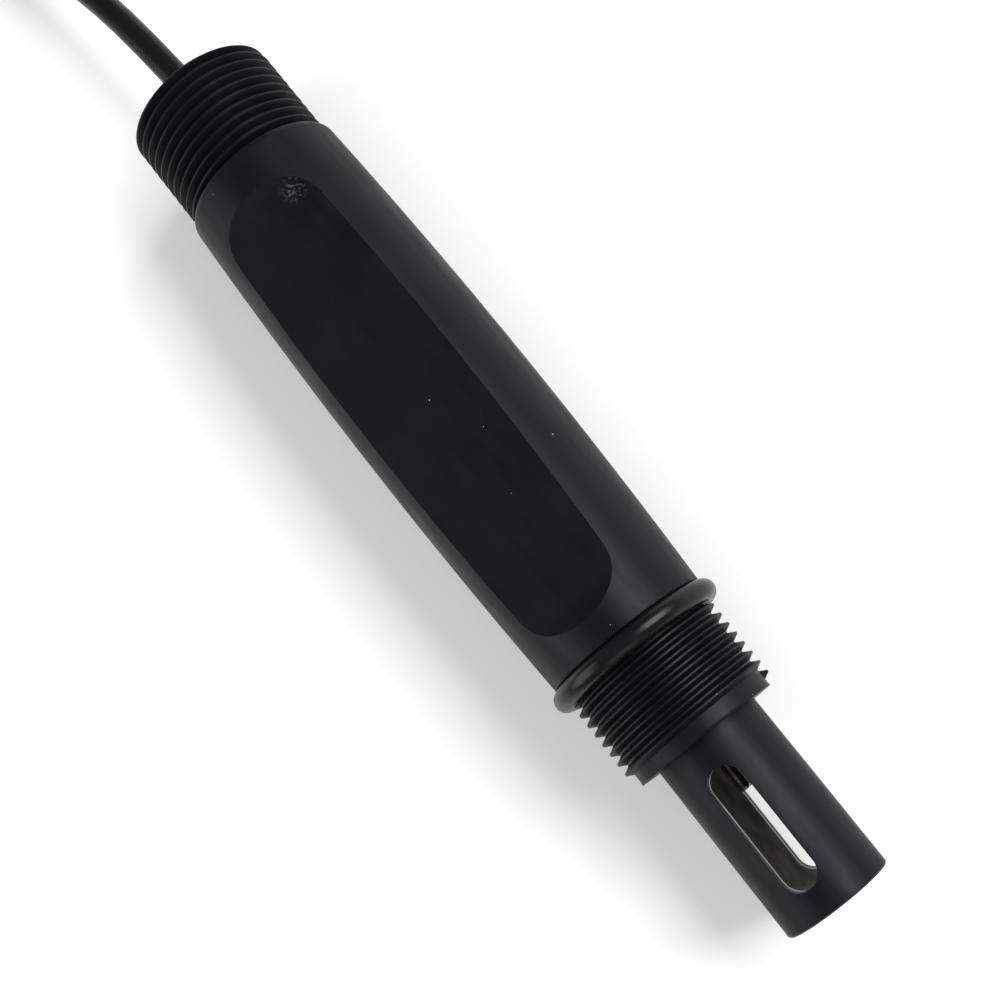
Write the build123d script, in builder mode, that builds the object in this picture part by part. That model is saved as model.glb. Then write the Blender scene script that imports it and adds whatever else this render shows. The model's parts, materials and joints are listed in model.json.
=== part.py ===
# Conductivity sensor lying on a bench, its two wrench flats level and its slotted guard tube to +X.
# X runs along the probe from the cable end to the open tip and Z is up.
# The origin is on the bench, below the middle of the probe. Sizes are in millimetres.
import os
from math import cos, pi, radians, sin, tan

from build123d import *

# lengths along the probe, from the cable end to the tip
rear_thread_length = 17.7
barrel_length = 96.45
seal_groove_width = 3.6
front_thread_length = 13.32
collar_length = 1.83
guard_length = 29.95

# both threads are 3/4 inch parallel pipe threads, 14 to the inch
thread_diameter = 26.44
thread_pitch = 1.814
thread_depth = 1.16
thread_flat = 0.30
thread_sink = 0.2
thread_lead_in = 0.35
# distance from each thread's start to its first crest on the top side
rear_first_crest = 0.432
front_first_crest = 1.152

# moulded barrel
barrel_rear_diameter = 27.8
barrel_widest_diameter = 29.88
barrel_front_diameter = 27.5
barrel_widest_from_rear = 49.9
rear_shoulder_radius = 1.5
front_shoulder_radius = 0.35
across_flats = 22.5
flat_rear_margin = 13.6
flat_front_margin = 11.35
flat_rear_run_out = 8.0
flat_front_run_out = 10.3

# rubber ring between barrel and front thread
seal_section = 3.53
seal_play = 0.05
seal_outside_diameter = 30.45

# lip on the collar's front edge
lip_width = 0.35
lip_height = 0.12

# guard tube, whose shank is glued into the body and holds the two electrodes
guard_diameter = 18.0
guard_bore = 14.4
guard_edge = 0.3
shank_diameter = 17.6
shank_length = 24.9
glue_gap = 0.05
shank_bore = 12.4
bulkhead_thickness = 7.0
bulkhead_recess = 3.1
slot_width = 5.75
slot_length = 21.05
slot_from_collar = 4.6

# small rings that seal the shank
ring_width = 1.7
ring_depth = 1.2
ring_play = 0.1
ring_stations = (4.0, 9.0)

# electrodes
pin_diameter = 2.0
pin_spacing = 3.5
pin_reach = 6.6
pin_edge = 0.4
pin_hole_play = 0.1
pin_flange_diameter = 3.2
pin_flange_thickness = 1.0
pin_seal_thickness = 0.5
pin_tail_diameter = 1.5
pin_tail_length = 6.0

# temperature element and its two legs
bead_diameter = 2.4
bead_length = 5.0
bead_offset = 4.2
bead_pocket_play = 0.1
bead_front_wall = 1.2
leg_diameter = 0.5
leg_spacing = 1.8
leg_length = 6.0
bead_sleeve_diameter = 3.6
bead_sleeve_wall = 0.18

# insulated cores inside the body and the shrink sleeves on their joints
core_diameter = 1.3
core_pitch = 1.5
core_straight = 10.0
arc_share = 0.45
sleeve_wall = 0.35
sleeve_play = 0.05
sleeve_length = 8.0

# casting resin, the foam dam behind it and the crimped ring on the cable
front_resin_back = 2.0
resin_play = 0.02
rear_bore_diameter = 15.0
rear_resin_recess = 2.0
rear_resin_length = 20.0
dam_thickness = 3.0
dam_play = 0.1
clamp_width = 4.0
clamp_wall = 0.8
clamp_from_rear = 14.0

# cable: jacket diameter, its stub inside the body, and the slim hank that the rest is folded into
cable_diameter = 4.8
cable_stub_length = 28.0
hank_center = -151.7
hank_run = 96.0
hank_fold_radius = 14.6
hank_columns = 2
hank_layers = 5
hank_pitch = 4.9

# nylon ties round the hank's two sides, placed along it from its middle
tie_thickness = 0.6
tie_width = 6.0
tie_play = 0.05
tie_left = 41.0
tie_right = 0.0

# route of the free cable, from the resin face to the hank: distance from the rear face, side, height
cable_route = [
    (1.8, 0.0, 15.225),
    (-22.0, -1.3, 15.0),
    (-46.0, -7.5, 9.6),
    (-70.0, -17.6, 3.05),
    (-89.8, -19.5, 3.05),
]

# stripped far end of the cable, which lies on top of the hank's left side
end_start_distance = -14.0
end_gap = 0.1
end_sleeve_diameter = 5.8
end_sleeve_length = 14.0
end_sleeve_edge = 0.6
lead_diameter = 1.3
lead_length = 22.0
lead_gap = 0.2
lead_bend = 8.8
lead_fan = 2.0
lead_fan_start = 0.6
lead_drop = 1.0
drain_diameter = 0.8
ferrule_diameter = 1.0
ferrule_length = 8.0

# stations along the probe, measured from the rear face
barrel_start = rear_thread_length
barrel_end = barrel_start + barrel_length
groove_end = barrel_end + seal_groove_width
front_thread_end = groove_end + front_thread_length
collar_end = front_thread_end + collar_length
tip = collar_end + guard_length
shank_start = collar_end - shank_length
slot_center = collar_end + slot_from_collar + slot_length / 2
rear_resin_end = rear_resin_recess + rear_resin_length
dam_end = rear_resin_end + dam_thickness
stub_end = rear_resin_recess + cable_stub_length

# places of the bulkhead and of what is mounted in it
bulkhead_front = collar_end + bulkhead_recess
bulkhead_back = bulkhead_front - bulkhead_thickness
pin_seal_back = bulkhead_back - pin_seal_thickness
pin_flange_back = pin_seal_back - pin_flange_thickness
pin_tail_back = pin_flange_back - pin_tail_length
bead_front = bulkhead_front - bead_front_wall
bead_back = bead_front - bead_length
leg_back = bead_back - leg_length

# radii and heights
thread_radius = thread_diameter / 2
root_radius = thread_radius - thread_depth
neck_radius = seal_outside_diameter / 2 - seal_section - seal_play
guard_radius = guard_diameter / 2
shank_radius = shank_diameter / 2
shank_seat_radius = shank_radius + glue_gap
cable_radius = cable_diameter / 2
axis_height = seal_outside_diameter / 2
rear_face = -tip / 2

# planes and axes shared by the pieces: local x is the distance from the rear face
side = Plane(origin=(rear_face, 0, axis_height), x_dir=(1, 0, 0), z_dir=(0, -1, 0))
probe_axis = Axis((0, 0, axis_height), (1, 0, 0))


def station(distance):
    """Plane square to the probe, with local x across (Y) and local y up (Z)."""
    return Plane(origin=(rear_face + distance, 0, axis_height), x_dir=(0, 1, 0), z_dir=(1, 0, 0))


def place(distance, across, up):
    """Point given from the rear face, in the model's frame."""
    return Vector(rear_face + distance, across, axis_height + up)


def ring_profile(start, end, inner, outer):
    """Rectangle between two stations and two radii, to be revolved about the probe."""
    Polygon((start, inner), (end, inner), (end, outer), (start, outer), align=None)


def threaded_core(start, end, core_start, core_end):
    """Round core along Z with the helical ridge of a right-hand thread from start to end."""
    crest = thread_flat / 2
    slope = (thread_pitch / 2 - thread_flat) / thread_depth
    foot = crest + slope * (thread_depth + thread_sink)
    with BuildPart() as ridge:
        with BuildLine() as path:
            Helix(pitch=thread_pitch, height=end - start, radius=root_radius)
        with BuildSketch(Plane(origin=path.line @ 0, x_dir=(1, 0, 0), z_dir=path.line % 0)):
            Polygon(
                (-thread_sink, -foot), (thread_depth, -crest), (thread_depth, crest), (-thread_sink, foot),
                align=None,
            )
        sweep(path=path.line, is_frenet=True)
    with BuildPart() as core:
        with BuildSketch(Plane.XY.offset(core_start - start)):
            Circle(root_radius)
        extrude(amount=core_end - core_start)
        add(ridge.part)
    return core.part


def smooth_path(points, diameter):
    """Straight runs joined by tangent arcs as large as the runs allow; the tightest in diameters."""
    corners = [Vector(*point) for point in points]
    radii = []
    for before, corner, after in zip(corners, corners[1:], corners[2:]):
        turn = (corner - before).get_angle(after - corner)
        shorter = min((corner - before).length, (after - corner).length)
        radii.append(arc_share * shorter / tan(radians(turn) / 2))
    with BuildLine() as path:
        FilletPolyline(*corners, radius=radii)
    return path.wire(), min(radii) / diameter


def wire(points, diameter):
    """Round wire along a path of straight runs and tangent arcs, its length and its tightest arc."""
    path, tightest = smooth_path(points, diameter)
    with BuildPart() as strand:
        with BuildSketch(Plane(origin=path @ 0, z_dir=path % 0)):
            Circle(diameter / 2)
        sweep(path=path)
    return strand.part, path.length, tightest


# moulded body: rear thread, barrel with two flats, seal groove, front thread and collar
rear_core = threaded_core(
    start=-thread_pitch, end=barrel_start + thread_pitch / 2,
    core_start=-2 * thread_pitch, core_end=barrel_start + 2 * thread_pitch,
)
front_core = threaded_core(
    start=groove_end - thread_pitch, end=front_thread_end,
    core_start=barrel_end - thread_pitch, core_end=collar_end,
)
with BuildPart() as sensor_body:
    with BuildSketch(side):
        with BuildLine():
            rear = (barrel_start, barrel_rear_diameter / 2)
            widest = (barrel_start + barrel_widest_from_rear, barrel_widest_diameter / 2)
            front = (barrel_end, barrel_front_diameter / 2)
            Polyline(front, (barrel_end, 0), (barrel_start, 0), rear)
            ThreePointArc(rear, widest, front)
        make_face()
    revolve(axis=probe_axis)
    for distance, radius in ((barrel_start, rear_shoulder_radius), (barrel_end, front_shoulder_radius)):
        rims = sensor_body.edges().filter_by(GeomType.CIRCLE).filter_by_position(
            Axis.X, rear_face + distance - 0.01, rear_face + distance + 0.01
        )
        fillet(rims.sort_by(SortBy.LENGTH)[-1], radius)
    for core, start, crest in (
        (rear_core, -thread_pitch, rear_first_crest),
        (front_core, groove_end - thread_pitch, groove_end + front_first_crest),
    ):
        turned = 2 * pi * (crest - start) / thread_pitch
        with Locations(
            Plane(
                origin=(rear_face + start, 0, axis_height),
                x_dir=(0, sin(turned), cos(turned)),
                z_dir=(1, 0, 0),
            )
        ):
            add(core)
    # thin lip that the mould left on the collar's front edge
    with BuildSketch(side):
        Polygon(
            (collar_end, root_radius - lip_width), (collar_end, root_radius + lip_height),
            (collar_end - lip_width, root_radius), (collar_end - lip_width, root_radius - lip_width),
            align=None,
        )
    revolve(axis=probe_axis)
    # groove for the rubber ring, into which the front thread runs out
    with BuildSketch(side):
        ring_profile(barrel_end, groove_end, neck_radius, thread_diameter)
    revolve(axis=probe_axis, mode=Mode.SUBTRACT)
    # the rear thread is cut by the end face, with a short lead-in
    with BuildSketch(station(0)):
        Circle(thread_diameter)
    extrude(amount=-3 * thread_pitch, mode=Mode.SUBTRACT)
    with BuildSketch(side):
        Polygon(
            (-thread_lead_in, thread_radius - 2 * thread_lead_in), (-thread_lead_in, thread_diameter),
            (2 * thread_lead_in, thread_diameter), (2 * thread_lead_in, thread_radius + thread_lead_in),
            align=None,
        )
    revolve(axis=probe_axis, mode=Mode.SUBTRACT)
    # two opposite flats, each scooped out in a round run-out at both ends
    for up in (1, -1):
        flat_start = barrel_start + flat_rear_margin
        flat_end = barrel_end - flat_front_margin
        floor = across_flats / 2
        with BuildSketch(Plane(origin=side.origin, x_dir=(1, 0, 0), z_dir=(0, -up, 0))):
            with BuildLine():
                JernArc((flat_start, floor), (-1, 0), flat_rear_run_out, -90)
                JernArc((flat_end, floor), (1, 0), flat_front_run_out, 90)
                Line((flat_start, floor), (flat_end, floor))
                Polyline(
                    (flat_start - flat_rear_run_out, floor + flat_rear_run_out),
                    (flat_start - flat_rear_run_out, floor + flat_front_run_out + 1),
                    (flat_end + flat_front_run_out, floor + flat_front_run_out + 1),
                    (flat_end + flat_front_run_out, floor + flat_front_run_out),
                )
            make_face()
        extrude(amount=barrel_widest_diameter, both=True, mode=Mode.SUBTRACT)
    # hollow middle and the wider seat of the guard tube's shank
    with BuildSketch(side):
        ring_profile(0, collar_end, 0, rear_bore_diameter / 2)
        ring_profile(shank_start, collar_end, 0, shank_seat_radius)
    revolve(axis=probe_axis, mode=Mode.SUBTRACT)

# rubber ring against the barrel's front shoulder
with BuildPart() as seal_ring:
    with BuildSketch(side):
        with Locations(((barrel_end + groove_end) / 2, seal_outside_diameter / 2 - seal_section / 2)):
            Circle(seal_section / 2)
    revolve(axis=probe_axis)

# guard tube: shank with two seal grooves, bulkhead, open tube and the slot through both walls
with BuildPart() as guard_tube:
    with BuildSketch(side):
        ring_profile(shank_start, collar_end, 0, shank_radius)
        ring_profile(collar_end, tip, 0, guard_radius)
    revolve(axis=probe_axis)
    with BuildSketch(side):
        ring_profile(shank_start, bulkhead_back, 0, shank_bore / 2)
        ring_profile(bulkhead_front, tip, 0, guard_bore / 2)
        for place_of_ring in ring_stations:
            groove_start = shank_start + place_of_ring - ring_play
            groove_stop = shank_start + place_of_ring + ring_width + ring_play
            ring_profile(groove_start, groove_stop, shank_radius - ring_depth, shank_diameter)
    revolve(axis=probe_axis, mode=Mode.SUBTRACT)
    chamfer(guard_tube.faces().sort_by(Axis.X)[-1].edges(), guard_edge)
    with BuildSketch(Plane(origin=(rear_face + slot_center, 0, axis_height))):
        SlotOverall(slot_length, slot_width)
    extrude(amount=guard_diameter, both=True, mode=Mode.SUBTRACT)
    with BuildSketch(station(bulkhead_back)):
        with Locations((0, pin_spacing / 2), (0, -pin_spacing / 2)):
            Circle(pin_diameter / 2 + pin_hole_play / 2)
    extrude(amount=bulkhead_thickness, mode=Mode.SUBTRACT)
    with BuildSketch(station(bulkhead_back)):
        with Locations((bead_offset, 0)):
            Circle(bead_diameter / 2 + bead_pocket_play)
    extrude(amount=bead_front - bulkhead_back, mode=Mode.SUBTRACT)

# rings in the shank's two grooves
shank_rings = []
for number, place_of_ring in zip(("front", "rear"), reversed(ring_stations)):
    with BuildPart() as shank_ring:
        middle = shank_start + place_of_ring + ring_width / 2
        with BuildSketch(side):
            with Locations((middle, shank_radius - ring_depth / 2)):
                RectangleRounded(ring_width, ring_depth - glue_gap, ring_depth / 3)
        revolve(axis=probe_axis)
    shank_ring.part.label = f"shank_ring_{number}"
    shank_rings.append(shank_ring.part)

# the two electrodes, each with a sealing washer behind the bulkhead and a sleeve on its joint
electrodes = []
electrode_trim = []
for name, lift in (("upper", pin_spacing / 2), ("lower", -pin_spacing / 2)):
    pin_side = Plane(origin=(rear_face, 0, axis_height + lift), x_dir=(1, 0, 0), z_dir=(0, -1, 0))
    pin_axis = Axis((0, 0, axis_height + lift), (1, 0, 0))
    pin_tip = bulkhead_front + pin_reach
    with BuildPart() as electrode_pin:
        with BuildSketch(pin_side):
            with BuildLine():
                Polyline(
                    (pin_tail_back, 0), (pin_tail_back, pin_tail_diameter / 2),
                    (pin_flange_back, pin_tail_diameter / 2), (pin_flange_back, pin_flange_diameter / 2),
                    (pin_seal_back, pin_flange_diameter / 2), (pin_seal_back, pin_diameter / 2),
                    (pin_tip - pin_edge, pin_diameter / 2), (pin_tip, pin_diameter / 2 - pin_edge),
                    (pin_tip, 0), close=True,
                )
            make_face()
        revolve(axis=pin_axis)
    electrode_pin.part.label = f"electrode_pin_{name}"
    electrodes.append(electrode_pin.part)
    with BuildPart() as pin_washer:
        with BuildSketch(pin_side):
            ring_profile(pin_seal_back, bulkhead_back, pin_diameter / 2 + glue_gap, pin_flange_diameter / 2)
        revolve(axis=pin_axis)
    pin_washer.part.label = f"pin_washer_{name}"
    with BuildPart() as joint_sleeve:
        with BuildSketch(pin_side):
            bore = pin_tail_diameter / 2 + sleeve_play
            ring_profile(pin_flange_back - sleeve_length, pin_flange_back, bore, bore + sleeve_wall)
        revolve(axis=pin_axis)
    joint_sleeve.part.label = f"joint_sleeve_{name}"
    electrode_trim += [pin_washer.part, joint_sleeve.part]

# glass bead of the temperature element, in its pocket in the bulkhead, with two legs
bead_side = Plane(origin=(rear_face, bead_offset, axis_height), x_dir=(1, 0, 0), z_dir=(0, -1, 0))
bead_axis = Axis((0, bead_offset, axis_height), (1, 0, 0))
with BuildPart() as temperature_bead:
    with BuildSketch(bead_side):
        ring_profile(bead_back, bead_front, 0, bead_diameter / 2)
    revolve(axis=bead_axis)
    fillet(temperature_bead.edges().filter_by(GeomType.CIRCLE), bead_diameter / 5)
    with BuildSketch(station(leg_back)):
        with Locations((bead_offset, leg_spacing / 2), (bead_offset, -leg_spacing / 2)):
            Circle(leg_diameter / 2)
    extrude(amount=leg_length + bead_length / 2)

# one sleeve over both joints of the temperature element
with BuildPart() as bead_sleeve:
    with BuildSketch(bead_side):
        radius = bead_sleeve_diameter / 2
        middle = (leg_back + bead_back) / 2 - leg_length / 2
        ring_profile(middle - sleeve_length / 2, middle + sleeve_length / 2, radius - bead_sleeve_wall, radius)
    revolve(axis=bead_axis)

# four cores from the end of the cable stub to the electrodes and the temperature element
core_ends = {
    "red": (pin_tail_back, 0, pin_spacing / 2),
    "black": (pin_tail_back, 0, -pin_spacing / 2),
    "white": (leg_back, bead_offset, leg_spacing / 2),
    "green": (leg_back, bead_offset, -leg_spacing / 2),
}
core_starts = {
    "red": (-core_pitch / 2, core_pitch / 2),
    "black": (-core_pitch / 2, -core_pitch / 2),
    "white": (core_pitch / 2, core_pitch / 2),
    "green": (core_pitch / 2, -core_pitch / 2),
}
front_resin_start = shank_start + front_resin_back
cores = []
for color in core_starts:
    start_across, start_up = core_starts[color]
    end_distance, end_across, end_up = core_ends[color]
    bend = end_distance - (end_distance - front_resin_start) / (1 - arc_share)
    strand, strand_length, tightest = wire(
        [
            place(stub_end, start_across, start_up),
            place(stub_end + core_straight, start_across, start_up),
            place(bend, end_across, end_up),
            place(end_distance, end_across, end_up),
        ],
        core_diameter,
    )
    strand.label = f"core_{color}"
    cores.append(strand)

# cable stub cast into the rear of the body, with a crimped ring against pulling out
with BuildPart() as cable_stub:
    with BuildSketch(side):
        ring_profile(rear_resin_recess, stub_end, 0, cable_radius)
    revolve(axis=probe_axis)

with BuildPart() as cable_clamp:
    with BuildSketch(side):
        ring_profile(clamp_from_rear, clamp_from_rear + clamp_width, cable_radius, cable_radius + clamp_wall)
    revolve(axis=probe_axis)

# foam disc that kept the rear resin in place while it set
with BuildPart() as foam_dam:
    with BuildSketch(side):
        ring_profile(
            rear_resin_end, dam_end, cable_radius + dam_play, rear_bore_diameter / 2 - dam_play
        )
    revolve(axis=probe_axis)

# casting resin at both ends, poured round what it holds
with BuildPart() as rear_resin:
    with BuildSketch(side):
        ring_profile(rear_resin_recess, rear_resin_end, cable_radius, rear_bore_diameter / 2 - resin_play)
    revolve(axis=probe_axis)
    with BuildSketch(side):
        ring_profile(clamp_from_rear, clamp_from_rear + clamp_width, 0, cable_radius + clamp_wall)
    revolve(axis=probe_axis, mode=Mode.SUBTRACT)

with BuildPart() as front_resin:
    with BuildSketch(side):
        ring_profile(front_resin_start, bulkhead_back, 0, shank_bore / 2 - resin_play)
    revolve(axis=probe_axis)
    pin_places = [(0, pin_spacing / 2), (0, -pin_spacing / 2)]
    sleeve_radius = pin_tail_diameter / 2 + sleeve_play + sleeve_wall
    bead_sleeve_end = middle + sleeve_length / 2
    # round hollows: washers and flanges, their sleeves, the bead's sleeve, its legs and the cores
    for start, end, radius, places in (
        (pin_flange_back, bulkhead_back, pin_flange_diameter / 2, pin_places),
        (pin_flange_back - sleeve_length, pin_flange_back, sleeve_radius, pin_places),
        (front_resin_start, pin_tail_back, core_diameter / 2, pin_places),
        (front_resin_start, bead_sleeve_end, bead_sleeve_diameter / 2, [(bead_offset, 0)]),
        (bead_sleeve_end, bulkhead_back, leg_spacing / 2 + leg_diameter, [(bead_offset, 0)]),
    ):
        with BuildSketch(station(start)):
            with Locations(places):
                Circle(radius + resin_play)
        extrude(amount=end - start, mode=Mode.SUBTRACT)

# free cable from the resin face to the hank on the bench
route = [(rear_face + distance, across, height) for distance, across, height in cable_route]
sensor_cable, free_length, tightest = wire(route, cable_diameter)
section = pi * cable_radius**2
print(f"free cable {free_length:.1f} mm, tightest arc {tightest:.1f} diameters")
print(f"volume over section times length {sensor_cable.volume / (section * free_length):.4f}")

# outer shape of the hank, which lies on its ties
hank_x = rear_face + hank_center
hank_bottom = tie_thickness + tie_play
hank_height = (hank_layers - 1) * hank_pitch + cable_diameter
hank_side_width = (hank_columns - 1) * hank_pitch + cable_diameter
hank_inner_radius = hank_fold_radius - cable_radius
hank_side = hank_inner_radius + hank_side_width / 2
with BuildPart() as cable_hank:
    with BuildSketch(Plane.XY.offset(hank_bottom)):
        with Locations((hank_x, 0)):
            SlotCenterToCenter(hank_run, 2 * (hank_inner_radius + hank_side_width))
            SlotCenterToCenter(hank_run, 2 * hank_inner_radius, mode=Mode.SUBTRACT)
    extrude(amount=hank_height)
    hank_ends = cable_hank.faces().sort_by(Axis.Z)
    fillet(hank_ends[0].edges() + hank_ends[-1].edges(), cable_radius)

# nylon ties, each round one side of the hank
hank_ties = []
for name, along, across in (("hank_tie_left", tie_left, hank_side), ("hank_tie_right", tie_right, -hank_side)):
    tie_plane = Plane(
        origin=(hank_x + along, across, hank_bottom + hank_height / 2), x_dir=(0, 1, 0), z_dir=(1, 0, 0)
    )
    opening = (hank_side_width + 2 * tie_play, hank_height + 2 * tie_play)
    with BuildPart() as hank_tie:
        with BuildSketch(tie_plane):
            RectangleRounded(
                opening[0] + 2 * tie_thickness, opening[1] + 2 * tie_thickness, cable_radius + tie_thickness
            )
            RectangleRounded(opening[0], opening[1], cable_radius, mode=Mode.SUBTRACT)
        extrude(amount=tie_width / 2, both=True)
    hank_tie.part.label = name
    hank_ties.append(hank_tie.part)

# stripped end on top of the hank: shrink sleeve, four leads, the drain wire and ferrules
end_height = hank_bottom + hank_height + end_gap + end_sleeve_diameter / 2
end_start = Plane(origin=(hank_x + end_start_distance, hank_side, end_height), x_dir=(0, 1, 0), z_dir=(1, 0, 0))
with BuildPart() as end_sleeve:
    with BuildSketch(end_start):
        Circle(end_sleeve_diameter / 2)
    extrude(amount=end_sleeve_length)
    fillet(end_sleeve.edges().filter_by(GeomType.CIRCLE), end_sleeve_edge)

# each lead starts at its place in the cable and ends in the fan
lead_starts = [core_starts["red"], core_starts["black"], (0, 0), core_starts["white"], core_starts["green"]]
leads = []
with BuildPart() as lead_ferrules:
    for number, name in enumerate(("lead_red", "lead_black", "drain_wire", "lead_white", "lead_green")):
        out, up = lead_starts[number]
        fan = number - 2
        start = end_start.from_local_coords((out, up, end_sleeve_length + lead_gap))
        bend = end_start.from_local_coords((out + fan * lead_fan_start, up, end_sleeve_length + lead_bend))
        end = end_start.from_local_coords((out + fan * lead_fan, -lead_drop, end_sleeve_length + lead_length))
        diameter = drain_diameter if name == "drain_wire" else lead_diameter
        lead, lead_run, tightest = wire([start, bend, end], diameter)
        lead.label = name
        leads.append(lead)
        with BuildSketch(Plane(origin=end, z_dir=end - bend)):
            Circle(ferrule_diameter / 2)
        extrude(amount=ferrule_length)

# names and files
for name, piece in (
    ("sensor_body", sensor_body.part),
    ("seal_ring", seal_ring.part),
    ("guard_tube", guard_tube.part),
    ("temperature_bead", temperature_bead.part),
    ("bead_sleeve", bead_sleeve.part),
    ("cable_stub", cable_stub.part),
    ("cable_clamp", cable_clamp.part),
    ("foam_dam", foam_dam.part),
    ("rear_resin", rear_resin.part),
    ("front_resin", front_resin.part),
    ("sensor_cable", sensor_cable),
    ("cable_hank", cable_hank.part),
    ("end_sleeve", end_sleeve.part),
    ("lead_ferrules", lead_ferrules.part),
):
    piece.label = name

os.makedirs("parts", exist_ok=True)
export_step(sensor_body.part, "parts/sensor_body.step")
export_step(seal_ring.part, "parts/seal_ring.step")
export_step(guard_tube.part, "parts/guard_tube.step")
export_step(temperature_bead.part, "parts/temperature_bead.step")
export_step(bead_sleeve.part, "parts/bead_sleeve.step")
export_step(cable_stub.part, "parts/cable_stub.step")
export_step(cable_clamp.part, "parts/cable_clamp.step")
export_step(foam_dam.part, "parts/foam_dam.step")
export_step(rear_resin.part, "parts/rear_resin.step")
export_step(front_resin.part, "parts/front_resin.step")
export_step(sensor_cable, "parts/sensor_cable.step")
export_step(cable_hank.part, "parts/cable_hank.step")
export_step(end_sleeve.part, "parts/end_sleeve.step")
export_step(lead_ferrules.part, "parts/lead_ferrules.step")
for piece in shank_rings + electrodes + electrode_trim + cores + leads + hank_ties:
    export_step(piece, f"parts/{piece.label}.step")
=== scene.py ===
import json
import math

import bmesh
import bpy
from mathutils import Matrix, Vector


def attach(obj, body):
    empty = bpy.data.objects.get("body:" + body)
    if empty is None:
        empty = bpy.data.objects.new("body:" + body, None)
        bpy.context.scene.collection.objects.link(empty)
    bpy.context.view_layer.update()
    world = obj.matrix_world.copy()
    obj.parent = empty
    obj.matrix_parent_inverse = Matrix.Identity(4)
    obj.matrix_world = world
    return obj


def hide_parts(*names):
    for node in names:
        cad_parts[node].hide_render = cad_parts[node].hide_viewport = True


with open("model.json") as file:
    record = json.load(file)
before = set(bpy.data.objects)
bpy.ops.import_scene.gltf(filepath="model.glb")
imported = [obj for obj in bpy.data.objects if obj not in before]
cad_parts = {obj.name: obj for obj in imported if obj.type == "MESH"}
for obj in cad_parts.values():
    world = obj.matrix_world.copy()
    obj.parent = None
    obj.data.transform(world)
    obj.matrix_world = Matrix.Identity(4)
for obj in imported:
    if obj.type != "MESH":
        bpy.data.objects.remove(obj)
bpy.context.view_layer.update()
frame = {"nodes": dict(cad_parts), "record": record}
scene = bpy.context.scene
print("frame loaded")


def mm(value):
    return value / 1000  # millimetres to metres


# colour of an sRGB hex value in the shader's linear light
def linearFromHex(text):
    channels = [int(text[i : i + 2], 16) / 255 for i in (1, 3, 5)]
    return [c / 12.92 if c <= 0.04045 else ((c + 0.055) / 1.055) ** 2.4 for c in channels] + [1.0]


# camera, at the place that the photograph was taken from: metres, degrees and millimetres of lens
view = dict(
    place=(0.056175, 0.058416, 0.242836),
    turn=(0.2548, 19.4452, 49.8756),
    lens=55.611,
    sensor=36.0,
)


def addCamera():
    lensData = bpy.data.cameras.new("bench_camera")
    lensData.lens = view["lens"]
    lensData.sensor_width = view["sensor"]
    camera = bpy.data.objects.new("bench_camera", lensData)
    camera.location = view["place"]
    camera.rotation_euler = [math.radians(a) for a in view["turn"]]
    scene.collection.objects.link(camera)
    scene.camera = camera


addCamera()
print("camera set")

# cable, in millimetres but for its length in metres: the free stretch repeats the part's route,
# then come the laps of the tied hank and the stretch on top of it that ends in the sleeve
cable = dict(
    rearFace=-81.425,
    diameter=4.8,
    length=3.0,
    route=[
        (1.8, 0.0, 15.225),
        (-22.0, -1.3, 15.0),
        (-46.0, -7.5, 9.6),
        (-70.0, -17.6, 3.05),
        (-89.8, -19.5, 3.05),
    ],
    hankCentre=-151.7,
    run=96.0,
    foldRadius=14.6,
    pitch=4.9,
    layers=5,
    lowest=3.05,
    foldPoints=6,
    runPoints=7,
    endOffset=-14.0,
    endLift=0.5,
    endRun=9.0,
)


# control point number place of one lap, which runs clockwise as seen from above, from the near end of
# the right side
def hankPoint(place, column, layer):
    run, folds, runs = cable["run"], cable["foldPoints"], cable["runPoints"]
    middle = cable["rearFace"] + cable["hankCentre"]
    radius = cable["foldRadius"] + column * cable["pitch"]
    height = cable["lowest"] + layer * cable["pitch"]
    turnedBack = place >= folds + runs
    direction = 1 if turnedBack else -1
    step = place - (folds + runs if turnedBack else 0)
    if step < runs:
        along = ((step + 0.5) / runs - 0.5) * run
        return Vector((middle + direction * along, direction * radius, height))
    half = math.pi / folds / 2
    turn = half * (2 * (step - runs) + 1)
    reach = radius / math.cos(half)  # the spline touches the lines between its points, which stand outside it
    across = direction * reach * math.cos(turn)
    return Vector((middle + direction * (run / 2 + reach * math.sin(turn)), across, height))


# control points in metres: free stretch, nearly ten laps in five layers of two, and the stretch on top
def cablePoints():
    points = [Vector((cable["rearFace"] + x, y, z)) for x, y, z in cable["route"]]
    lap = 2 * (cable["foldPoints"] + cable["runPoints"])
    cells = []
    for layer in range(cable["layers"]):
        cells += [(1, layer), (0, layer)] if layer % 2 == 0 else [(0, layer), (1, layer)]
    cells.append((0, cable["layers"]))
    # each lap changes to the next cell one step sooner, on the left side first and then on the right
    leftLast, rightLast = lap - cable["foldPoints"], cable["runPoints"]
    changes = [leftLast - i for i in range(cable["runPoints"] + 1)]
    changes += [rightLast - i for i in range(len(cells) - 1 - len(changes))]
    changes.append(lap // 2 + 1)
    place = 0
    for (column, layer), change in zip(cells, changes):
        while place != change:
            points.append(hankPoint(place, column, layer))
            place = (place + 1) % lap
    middle = cable["rearFace"] + cable["hankCentre"]
    side = cable["foldRadius"] + cable["pitch"] / 2
    top = cable["lowest"] + cable["layers"] * cable["pitch"] + cable["endLift"]
    end = Vector((middle + cable["endOffset"], side, top))
    points += [end - Vector((cable["endRun"], 0, 0)), end]
    return [p / 1000 for p in points]


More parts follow.
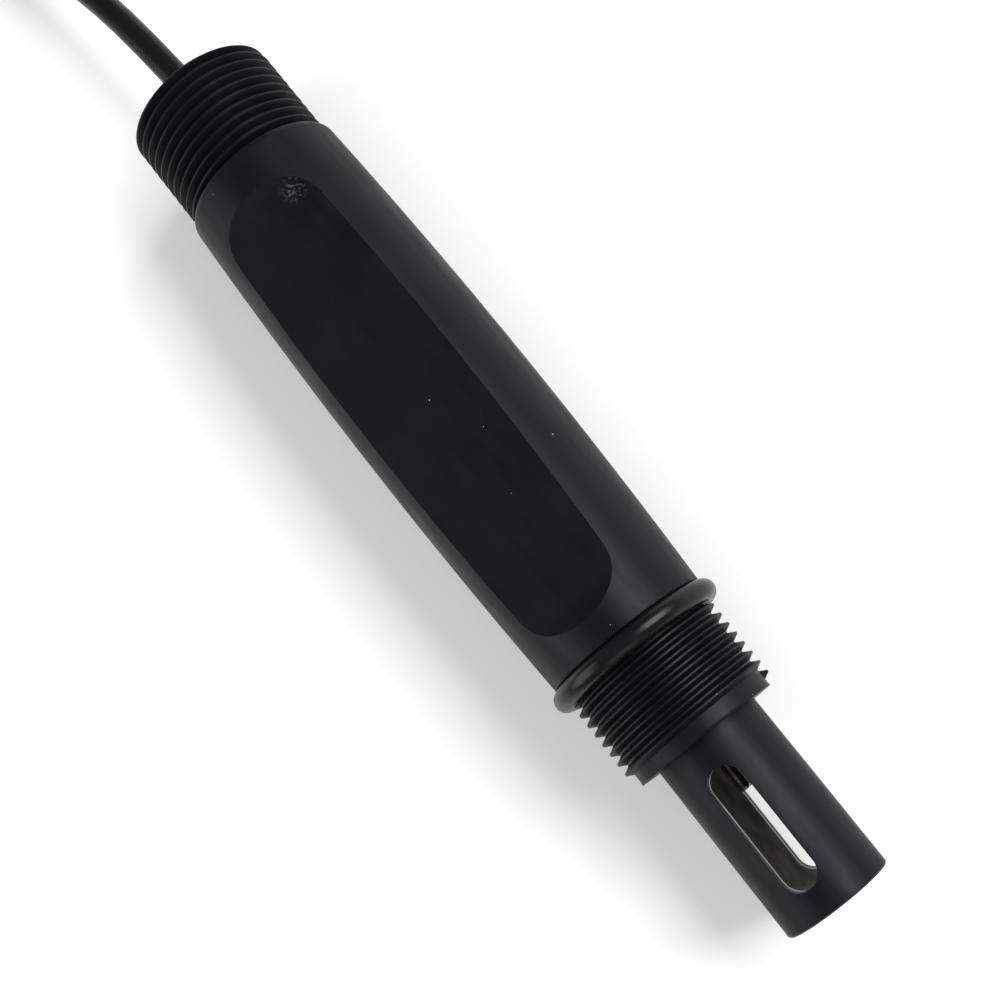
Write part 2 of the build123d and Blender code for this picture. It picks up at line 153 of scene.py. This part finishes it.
def addCable():
    points = cablePoints()
    curve = bpy.data.curves.new("cable", "CURVE")
    curve.dimensions = "3D"
    spline = curve.splines.new("NURBS")
    spline.points.add(len(points) - 1)
    for spot, point in zip(spline.points, points):
        spot.co = (*point, 1)
        spot.radius = mm(cable["diameter"]) / 2
    spline.order_u = 3
    spline.use_endpoint_u = True
    spline.resolution_u = 5
    curve.resolution_u = 5
    curve.bevel_depth = 1.0  # times each point's own radius
    curve.bevel_resolution = 6
    curve.use_fill_caps = True
    piece = bpy.data.objects.new("cable", curve)
    scene.collection.objects.link(piece)
    return piece, points[0]


cord, cableExit = addCable()
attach(cord, "root")
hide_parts("sensor_cable", "cable_hank")
print("cable laid")


# adds a node and returns one of its outputs, if it has any; each input is a value or a socket to link from
def addNode(tree, kind, inputs, output=0, **settings):
    node = tree.nodes.new("ShaderNode" + kind)
    for key, value in settings.items():
        setattr(node, key, value)
    for key, value in inputs.items():
        if isinstance(value, bpy.types.NodeSocket):
            tree.links.new(value, node.inputs[key])
        else:
            node.inputs[key].default_value = value
    return node.outputs[output] if node.outputs else None


def startMaterial(name):
    material = bpy.data.materials.new(name)
    material.use_nodes = True
    tree = material.node_tree
    tree.nodes.clear()
    return material, tree, addNode(tree, "TexCoord", {}, "Object")


def finishMaterial(material, inputs):
    tree = material.node_tree
    addNode(tree, "OutputMaterial", {"Surface": addNode(tree, "BsdfPrincipled", inputs)})
    return material


# scale of a pattern whose lumps or cells are about size millimetres across
def scaleFor(size):
    return 1000 / size


# colour sockets of a Mix node, which share their names with its other sockets
firstColour, secondColour, mixedColour = 6, 7, 2

# spans of a noise that colours and sheens follow, because it seldom goes further out
mostOfNoise = {"From Min": 0.3, "From Max": 0.7}
middleOfNoise = {"From Min": 0.35, "From Max": 0.65}


# goes from the first hex colour to the second while the pattern goes through the span
def twoTone(tree, pattern, span, first, second):
    share = addNode(tree, "MapRange", {"Value": pattern, **span})
    colours = {firstColour: linearFromHex(first), secondColour: linearFromHex(second)}
    return addNode(tree, "Mix", {"Factor": share, **colours}, mixedColour, data_type="RGBA")


# round dust spots of reach millimetres, in the given share of cells that are spacing millimetres apart
def dustMask(tree, place, spacing, reach, share):
    cells = addNode(tree, "TexVoronoi", {"Vector": place, "Scale": scaleFor(spacing)}).node
    edge = {"From Min": reach / spacing, "From Max": 0.6 * reach / spacing}
    spot = addNode(tree, "MapRange", {"Value": cells.outputs["Distance"], **edge})
    cellNumber = addNode(tree, "SeparateColor", {0: cells.outputs["Color"]})
    chosen = addNode(tree, "MapRange", {"Value": cellNumber, "From Min": share, "From Max": 0.98 * share})
    return addNode(tree, "Math", {0: spot, 1: chosen}, operation="MULTIPLY")


# moulded black engineering plastic: a dark satin sheen that wanders a little along faint flow marks,
# with dust, one scuffed spot and a smoother bore with streaks of painted light; sizes in millimetres,
# scuffPlace in metres
plastic = dict(
    dark="#08090c",
    light="#0c0e11",
    dust="#a9a8a4",
    sheen=0.12,
    roughLow=0.4,
    roughHigh=0.52,
    cloudSize=14.0,
    grainSize=0.5,  # drawn coarser than the real 0.1 mm, which is too fine to show
    grainDepth=0.006,
    flowSize=2.2,
    flowDepth=0.012,
    flowStretch=(0.25, 1, 1),  # flow marks run along the probe
    dustShare=0.05,
    largeDust=(3.2, 0.16),
    fineDust=(1.3, 0.07),
    scuff="#454545",
    scuffPlace=(-0.0529, 0.0058, 0.0262),
    scuffReach=2.6,
    scuffGrain=0.3,
    scuffStretch=(1, 0.5, 1),
    scuffDepth=0.03,
    # painted light: the bore's pale grey, laid on in streaks, stands in for light let in through the slot and
    # the open end
    boreLight="#7d7c79",
    boreRadius=8.0,
    boreEdge=0.4,
    boreGloss=0.18,
    boreLightStreaks=2.5,
    boreStretch=(0.3, 1, 1),
    axisHeight=15.225,
)


# share of the scuff at each place: torn specks that thin out from its middle
def scuffMask(tree, place):
    ends = {0: place, 1: plastic["scuffPlace"]}
    away = addNode(tree, "VectorMath", ends, "Value", operation="DISTANCE")
    reach = mm(plastic["scuffReach"])
    near = addNode(tree, "MapRange", {"Value": away, "From Min": reach, "From Max": 0.3 * reach})
    spread = addNode(tree, "Mapping", {"Vector": place, "Scale": plastic["scuffStretch"]})
    grain = {"Vector": spread, "Scale": scaleFor(plastic["scuffGrain"]), "Detail": 5.0}
    specks = addNode(tree, "TexNoise", grain)
    torn = addNode(tree, "MapRange", {"Value": specks, "From Min": 0.52, "From Max": 0.62})
    return addNode(tree, "Math", {0: near, 1: torn}, operation="MULTIPLY")


# one as near to the probe's axis as the guard tube's bore, nothing further out
def boreMask(tree, place):
    toAxis = {0: place, 1: (0, 1, 1), 2: (0, 0, -mm(plastic["axisHeight"]))}
    across = addNode(tree, "VectorMath", toAxis, operation="MULTIPLY_ADD")
    away = addNode(tree, "VectorMath", {0: across}, "Value", operation="LENGTH")
    outer = mm(plastic["boreRadius"])
    edge = {"From Min": outer, "From Max": outer - mm(plastic["boreEdge"])}
    return addNode(tree, "MapRange", {"Value": away, **edge})


def bodyPlastic(name):
    material, tree, place = startMaterial(name)
    cloudScale = scaleFor(plastic["cloudSize"])
    cloud = addNode(tree, "TexNoise", {"Vector": place, "Scale": cloudScale, "Detail": 3.0})
    grain = addNode(tree, "TexNoise", {"Vector": place, "Scale": scaleFor(plastic["grainSize"])})
    along = addNode(tree, "Mapping", {"Vector": place, "Scale": plastic["flowStretch"]})
    flow = addNode(tree, "TexNoise", {"Vector": along, "Scale": scaleFor(plastic["flowSize"])})
    scuffed = scuffMask(tree, place)

    dust = [dustMask(tree, place, *plastic[key], plastic["dustShare"]) for key in ("largeDust", "fineDust")]
    dusty = addNode(tree, "Math", {0: dust[0], 1: dust[1]}, operation="MAXIMUM")

    # the bore is smoother for real, but its paler streaks are painted light, standing in for light that comes
    # in through the slot and the open end
    inBore = boreMask(tree, place)
    alongBore = addNode(tree, "Mapping", {"Vector": place, "Scale": plastic["boreStretch"]})
    streakScale = scaleFor(plastic["boreLightStreaks"])
    lightStreaks = addNode(tree, "TexNoise", {"Vector": alongBore, "Scale": streakScale, "Detail": 3.0})
    boreLightShare = addNode(tree, "MapRange", {"Value": lightStreaks, **middleOfNoise, "To Min": 0.45})
    paintedBoreLight = addNode(tree, "Math", {0: inBore, 1: boreLightShare}, operation="MULTIPLY")

    colour = twoTone(tree, cloud, middleOfNoise, plastic["dark"], plastic["light"])
    # dust and the scuff are the plastic's own marks; the last layer is the bore's painted light
    for mask, hue in ((dusty, "dust"), (scuffed, "scuff"), (paintedBoreLight, "boreLight")):
        layers = {"Factor": mask, firstColour: colour, secondColour: linearFromHex(plastic[hue])}
        colour = addNode(tree, "Mix", layers, mixedColour, data_type="RGBA")

    sheens = {"To Min": plastic["roughLow"], "To Max": plastic["roughHigh"]}
    rough = addNode(tree, "MapRange", {"Value": flow, **mostOfNoise, **sheens})
    smoother = {0: inBore, 1: -plastic["boreGloss"], 2: rough}
    rough = addNode(tree, "Math", smoother, operation="MULTIPLY_ADD")

    relief = addNode(tree, "Bump", {"Height": grain, "Distance": mm(plastic["grainDepth"])})
    for height, depth in ((flow, "flowDepth"), (scuffed, "scuffDepth")):
        relief = addNode(tree, "Bump", {"Height": height, "Distance": mm(plastic[depth]), "Normal": relief})

    inputs = {"Base Color": colour, "Roughness": rough, "IOR": 1.5, "Normal": relief}
    return finishMaterial(material, {**inputs, "Specular IOR Level": plastic["sheen"]})


# dust on the other black pieces: distance between the specks and their reach, in millimetres
dullDust = dict(spacing=2.4, reach=0.11)


# black rubber, jacket, sleeve or resin: sheen wanders over lumps of size millimetres and colour over
# six times that, on a relief of depth millimetres, with some dust
def dullBlack(name, dark, light, roughLow, roughHigh, size, depth, dustShare=0.03):
    material, tree, place = startMaterial(name)
    cloud = addNode(tree, "TexNoise", {"Vector": place, "Scale": scaleFor(6 * size), "Detail": 3.0})
    fine = addNode(tree, "TexNoise", {"Vector": place, "Scale": scaleFor(size), "Detail": 3.0})
    base = twoTone(tree, cloud, middleOfNoise, dark, light)
    dusty = dustMask(tree, place, share=dustShare, **dullDust)
    layers = {"Factor": dusty, firstColour: base, secondColour: linearFromHex(plastic["dust"])}
    colour = addNode(tree, "Mix", layers, mixedColour, data_type="RGBA")
    sheens = {"To Min": roughLow, "To Max": roughHigh}
    rough = addNode(tree, "MapRange", {"Value": fine, **mostOfNoise, **sheens})
    relief = addNode(tree, "Bump", {"Height": fine, "Distance": mm(depth)})
    inputs = {"Base Color": colour, "Roughness": rough, "IOR": 1.5, "Normal": relief}
    return finishMaterial(material, {**inputs, "Specular IOR Level": 0.17})


# drawn or turned metal: fine rings round the probe's axis and a dull stain, in millimetres
metal = dict(
    ringSize=0.25,  # drawn coarser than real tool marks, which are too fine to show
    ringDepth=0.004,
    ringStretch=(1, 0.02, 0.02),
    stainSize=1.5,
    stainSpan={"From Min": 0.4, "From Max": 0.7},
)


def turnedMetal(name, bright, dull, roughLow, roughHigh):
    material, tree, place = startMaterial(name)
    spread = addNode(tree, "Mapping", {"Vector": place, "Scale": metal["ringStretch"]})
    rings = addNode(tree, "TexNoise", {"Vector": spread, "Scale": scaleFor(metal["ringSize"])})
    stainScale = scaleFor(metal["stainSize"])
    stain = addNode(tree, "TexNoise", {"Vector": place, "Scale": stainScale, "Detail": 4.0})
    colour = twoTone(tree, stain, metal["stainSpan"], bright, dull)
    sheens = {"To Min": roughLow, "To Max": roughHigh}
    rough = addNode(tree, "MapRange", {"Value": rings, **mostOfNoise, **sheens})
    relief = addNode(tree, "Bump", {"Height": rings, "Distance": mm(metal["ringDepth"])})
    inputs = {"Base Color": colour, "Metallic": 1.0, "Roughness": rough, "Normal": relief}
    return finishMaterial(material, inputs)


# extruded insulation: shiny, a little uneven in colour and thickness, in millimetres
insulation = dict(cloudSize=3.0, cloudDepth=0.02, sheenSize=0.8, roughLow=0.25, roughHigh=0.4)


def wireInsulation(name, colour, deep):
    material, tree, place = startMaterial(name)
    cloudScale = scaleFor(insulation["cloudSize"])
    cloud = addNode(tree, "TexNoise", {"Vector": place, "Scale": cloudScale, "Detail": 3.0})
    fine = addNode(tree, "TexNoise", {"Vector": place, "Scale": scaleFor(insulation["sheenSize"])})
    sheens = {"To Min": insulation["roughLow"], "To Max": insulation["roughHigh"]}
    rough = addNode(tree, "MapRange", {"Value": fine, **mostOfNoise, **sheens})
    relief = addNode(tree, "Bump", {"Height": cloud, "Distance": mm(insulation["cloudDepth"])})
    tone = twoTone(tree, cloud, mostOfNoise, deep, colour)
    inputs = {"Base Color": tone, "Roughness": rough, "IOR": 1.48, "Normal": relief}
    return finishMaterial(material, inputs)


# closed cell foam, cut through: small pits with painted shade in their bottoms, in millimetres
foam = dict(pitShade="#1d1d1e", wall="#3a3a3b", cellSize=0.5, depth=0.15, rough=0.9)


def cellFoam(name):
    material, tree, place = startMaterial(name)
    cells = addNode(tree, "TexVoronoi", {"Vector": place, "Scale": scaleFor(foam["cellSize"])})
    # painted shade: the darker colour fills the middle of each cell, where the pit is deepest
    colour = twoTone(tree, cells, {"From Min": 0.0, "From Max": 0.7}, foam["pitShade"], foam["wall"])
    relief = addNode(tree, "Bump", {"Height": cells, "Distance": mm(foam["depth"])})
    inputs = {"Base Color": colour, "Roughness": foam["rough"], "Normal": relief}
    return finishMaterial(material, inputs)


# woven nylon strap: matt, with soft ribs that follow each other in height and painted shade in the grooves
# between them, in millimetres
strap = dict(groove="#101011", rib="#26272a", ribSpacing=0.982, ribDepth=0.08, unevenness=0.6, rough=0.7)


def wovenStrap(name):
    material, tree, place = startMaterial(name)
    ribScale = scaleFor(strap["ribSpacing"]) * math.tau / 20  # a wave at scale 1 repeats at tau / 20
    weave = {"Vector": place, "Scale": ribScale, "Distortion": strap["unevenness"]}
    ribs = addNode(tree, "TexWave", weave, "Fac", bands_direction="Z")
    # painted shade: the colour darkens towards the grooves, following the ribs' height
    colour = twoTone(tree, ribs, {"From Min": 0.0, "From Max": 1.0}, strap["groove"], strap["rib"])
    relief = addNode(tree, "Bump", {"Height": ribs, "Distance": mm(strap["ribDepth"])})
    inputs = {"Base Color": colour, "Roughness": strap["rough"], "Normal": relief}
    return finishMaterial(material, inputs)


# one material for each slot of the record, with its two colours and, where these differ, the ends of its
# roughness, the size and depth of its lumps and the share of dust
materials = dict(
    body_plastic=bodyPlastic("moulded_black_plastic"),
    seal_rubber=dullBlack("nitrile_rubber", "#090a0b", "#0f0f11", 0.22, 0.32, 0.8, 0.004, 0.05),
    cable_jacket=dullBlack("extruded_cable_jacket", "#08090a", "#0d0e0f", 0.26, 0.36, 0.9, 0.01),
    pin_steel=turnedMetal("turned_stainless_steel", "#6b675c", "#413e36", 0.1, 0.24),
    shrink_sleeve=dullBlack("shrink_sleeve", "#121213", "#1c1c1d", 0.45, 0.6, 0.7, 0.02),
    bead_coating=dullBlack("dipped_resin_coat", "#15120f", "#211c17", 0.2, 0.35, 0.6, 0.02),
    red_insulation=wireInsulation("red_insulation", "#a8221a", "#861510"),
    black_insulation=wireInsulation("black_insulation", "#1e1e1f", "#131314"),
    white_insulation=wireInsulation("white_insulation", "#dcdbd5", "#c4c3bb"),
    green_insulation=wireInsulation("green_insulation", "#1f6b3a", "#15502a"),
    tinned_copper=turnedMetal("tinned_copper", "#c4c2bd", "#8c8a85", 0.28, 0.45),
    tie_nylon=wovenStrap("woven_nylon"),
    clamp_brass=turnedMetal("crimped_brass", "#b9924c", "#8a6a34", 0.25, 0.42),
    dam_foam=cellFoam("closed_cell_foam"),
    casting_resin=dullBlack("cast_epoxy", "#0d0d0d", "#151515", 0.12, 0.22, 2.0, 0.03),
)


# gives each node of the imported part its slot's material
def dressFrame():
    for part in frame["record"]["subparts"]:
        mesh = frame["nodes"][part["node"]].data
        mesh.materials.clear()
        mesh.materials.append(materials[part["material_slot"]])


dressFrame()
cord.data.materials.append(materials["cable_jacket"])
print("frame dressed")

# rubber ring between barrel and front thread, in millimetres
ring = dict(section=3.53, outside=30.45, centre=115.95, sectionSteps=40, turnSteps=144)


# a circle spun round the probe's axis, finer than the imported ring
def addSealRing():
    bm = bmesh.new()
    centre = Vector((mm(cable["rearFace"] + ring["centre"]), 0, mm(ring["outside"]) / 2))
    middleRadius = mm(ring["outside"] - ring["section"]) / 2
    place = Matrix.Translation(centre + Vector((0, 0, middleRadius))) @ Matrix.Rotation(math.pi / 2, 4, "X")
    bmesh.ops.create_circle(bm, segments=ring["sectionSteps"], radius=mm(ring["section"]) / 2, matrix=place)
    bmesh.ops.spin(
        bm,
        geom=bm.verts[:] + bm.edges[:],
        cent=centre,
        axis=(1, 0, 0),
        angle=math.tau,
        steps=ring["turnSteps"],
        use_merge=True,
    )
    bmesh.ops.recalc_face_normals(bm, faces=bm.faces)
    mesh = bpy.data.meshes.new("seal_ring_smooth")
    bm.to_mesh(mesh)
    bm.free()
    mesh.shade_smooth()
    mesh.materials.append(materials["seal_rubber"])
    piece = bpy.data.objects.new("seal_ring_smooth", mesh)
    scene.collection.objects.link(piece)
    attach(piece, "root")
    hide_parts("seal_ring")


addSealRing()
print("ring made")

# plain studio, in metres and watts: pale floor, a key lamp, two weaker ones and even light from all round
studio = dict(
    floorSize=6.0,
    floorColour="#f8f8f7",
    worldColour="#ffffff",
    worldStrength=0.28,
)
lamps = dict(
    key=dict(place=(0.02, 0.62, 0.52), size=(0.6, 0.45), power=9.0, target=(0, 0, 0.01)),
    bounce=dict(place=(-0.1, -0.7, 0.45), size=(0.9, 0.5), power=5.0, target=(0, 0, 0.01)),
    fill=dict(place=(0.75, -0.05, 0.5), size=(0.5, 0.5), power=1.2, target=(0.03, 0, 0.01)),
)


def addAreaLamp(name, place, size, power, target):
    data = bpy.data.lights.new(name, "AREA")
    data.shape = "RECTANGLE"
    data.size, data.size_y = size
    data.energy = power
    lamp = bpy.data.objects.new(name, data)
    lamp.location = place
    lamp.rotation_euler = (Vector(target) - lamp.location).to_track_quat("-Z", "Y").to_euler()
    scene.collection.objects.link(lamp)


def addBench():
    bm = bmesh.new()
    bmesh.ops.create_grid(bm, x_segments=1, y_segments=1, size=studio["floorSize"] / 2)
    mesh = bpy.data.meshes.new("bench")
    bm.to_mesh(mesh)
    bm.free()
    bench = bpy.data.objects.new("bench", mesh)
    scene.collection.objects.link(bench)
    material = startMaterial("bench_paper")[0]
    finishMaterial(material, {"Base Color": linearFromHex(studio["floorColour"]), "Roughness": 0.8})
    mesh.materials.append(material)


def addWorld():
    world = bpy.data.worlds.new("studio")
    world.use_nodes = True
    tree = world.node_tree
    tree.nodes.clear()
    light = {"Color": linearFromHex(studio["worldColour"]), "Strength": studio["worldStrength"]}
    addNode(tree, "OutputWorld", {"Surface": addNode(tree, "Background", light)})
    scene.world = world


addBench()
addWorld()
for lampName, lampFacts in lamps.items():
    addAreaLamp(lampName, **lampFacts)
scene.view_settings.view_transform = "Standard"
print("studio lit")
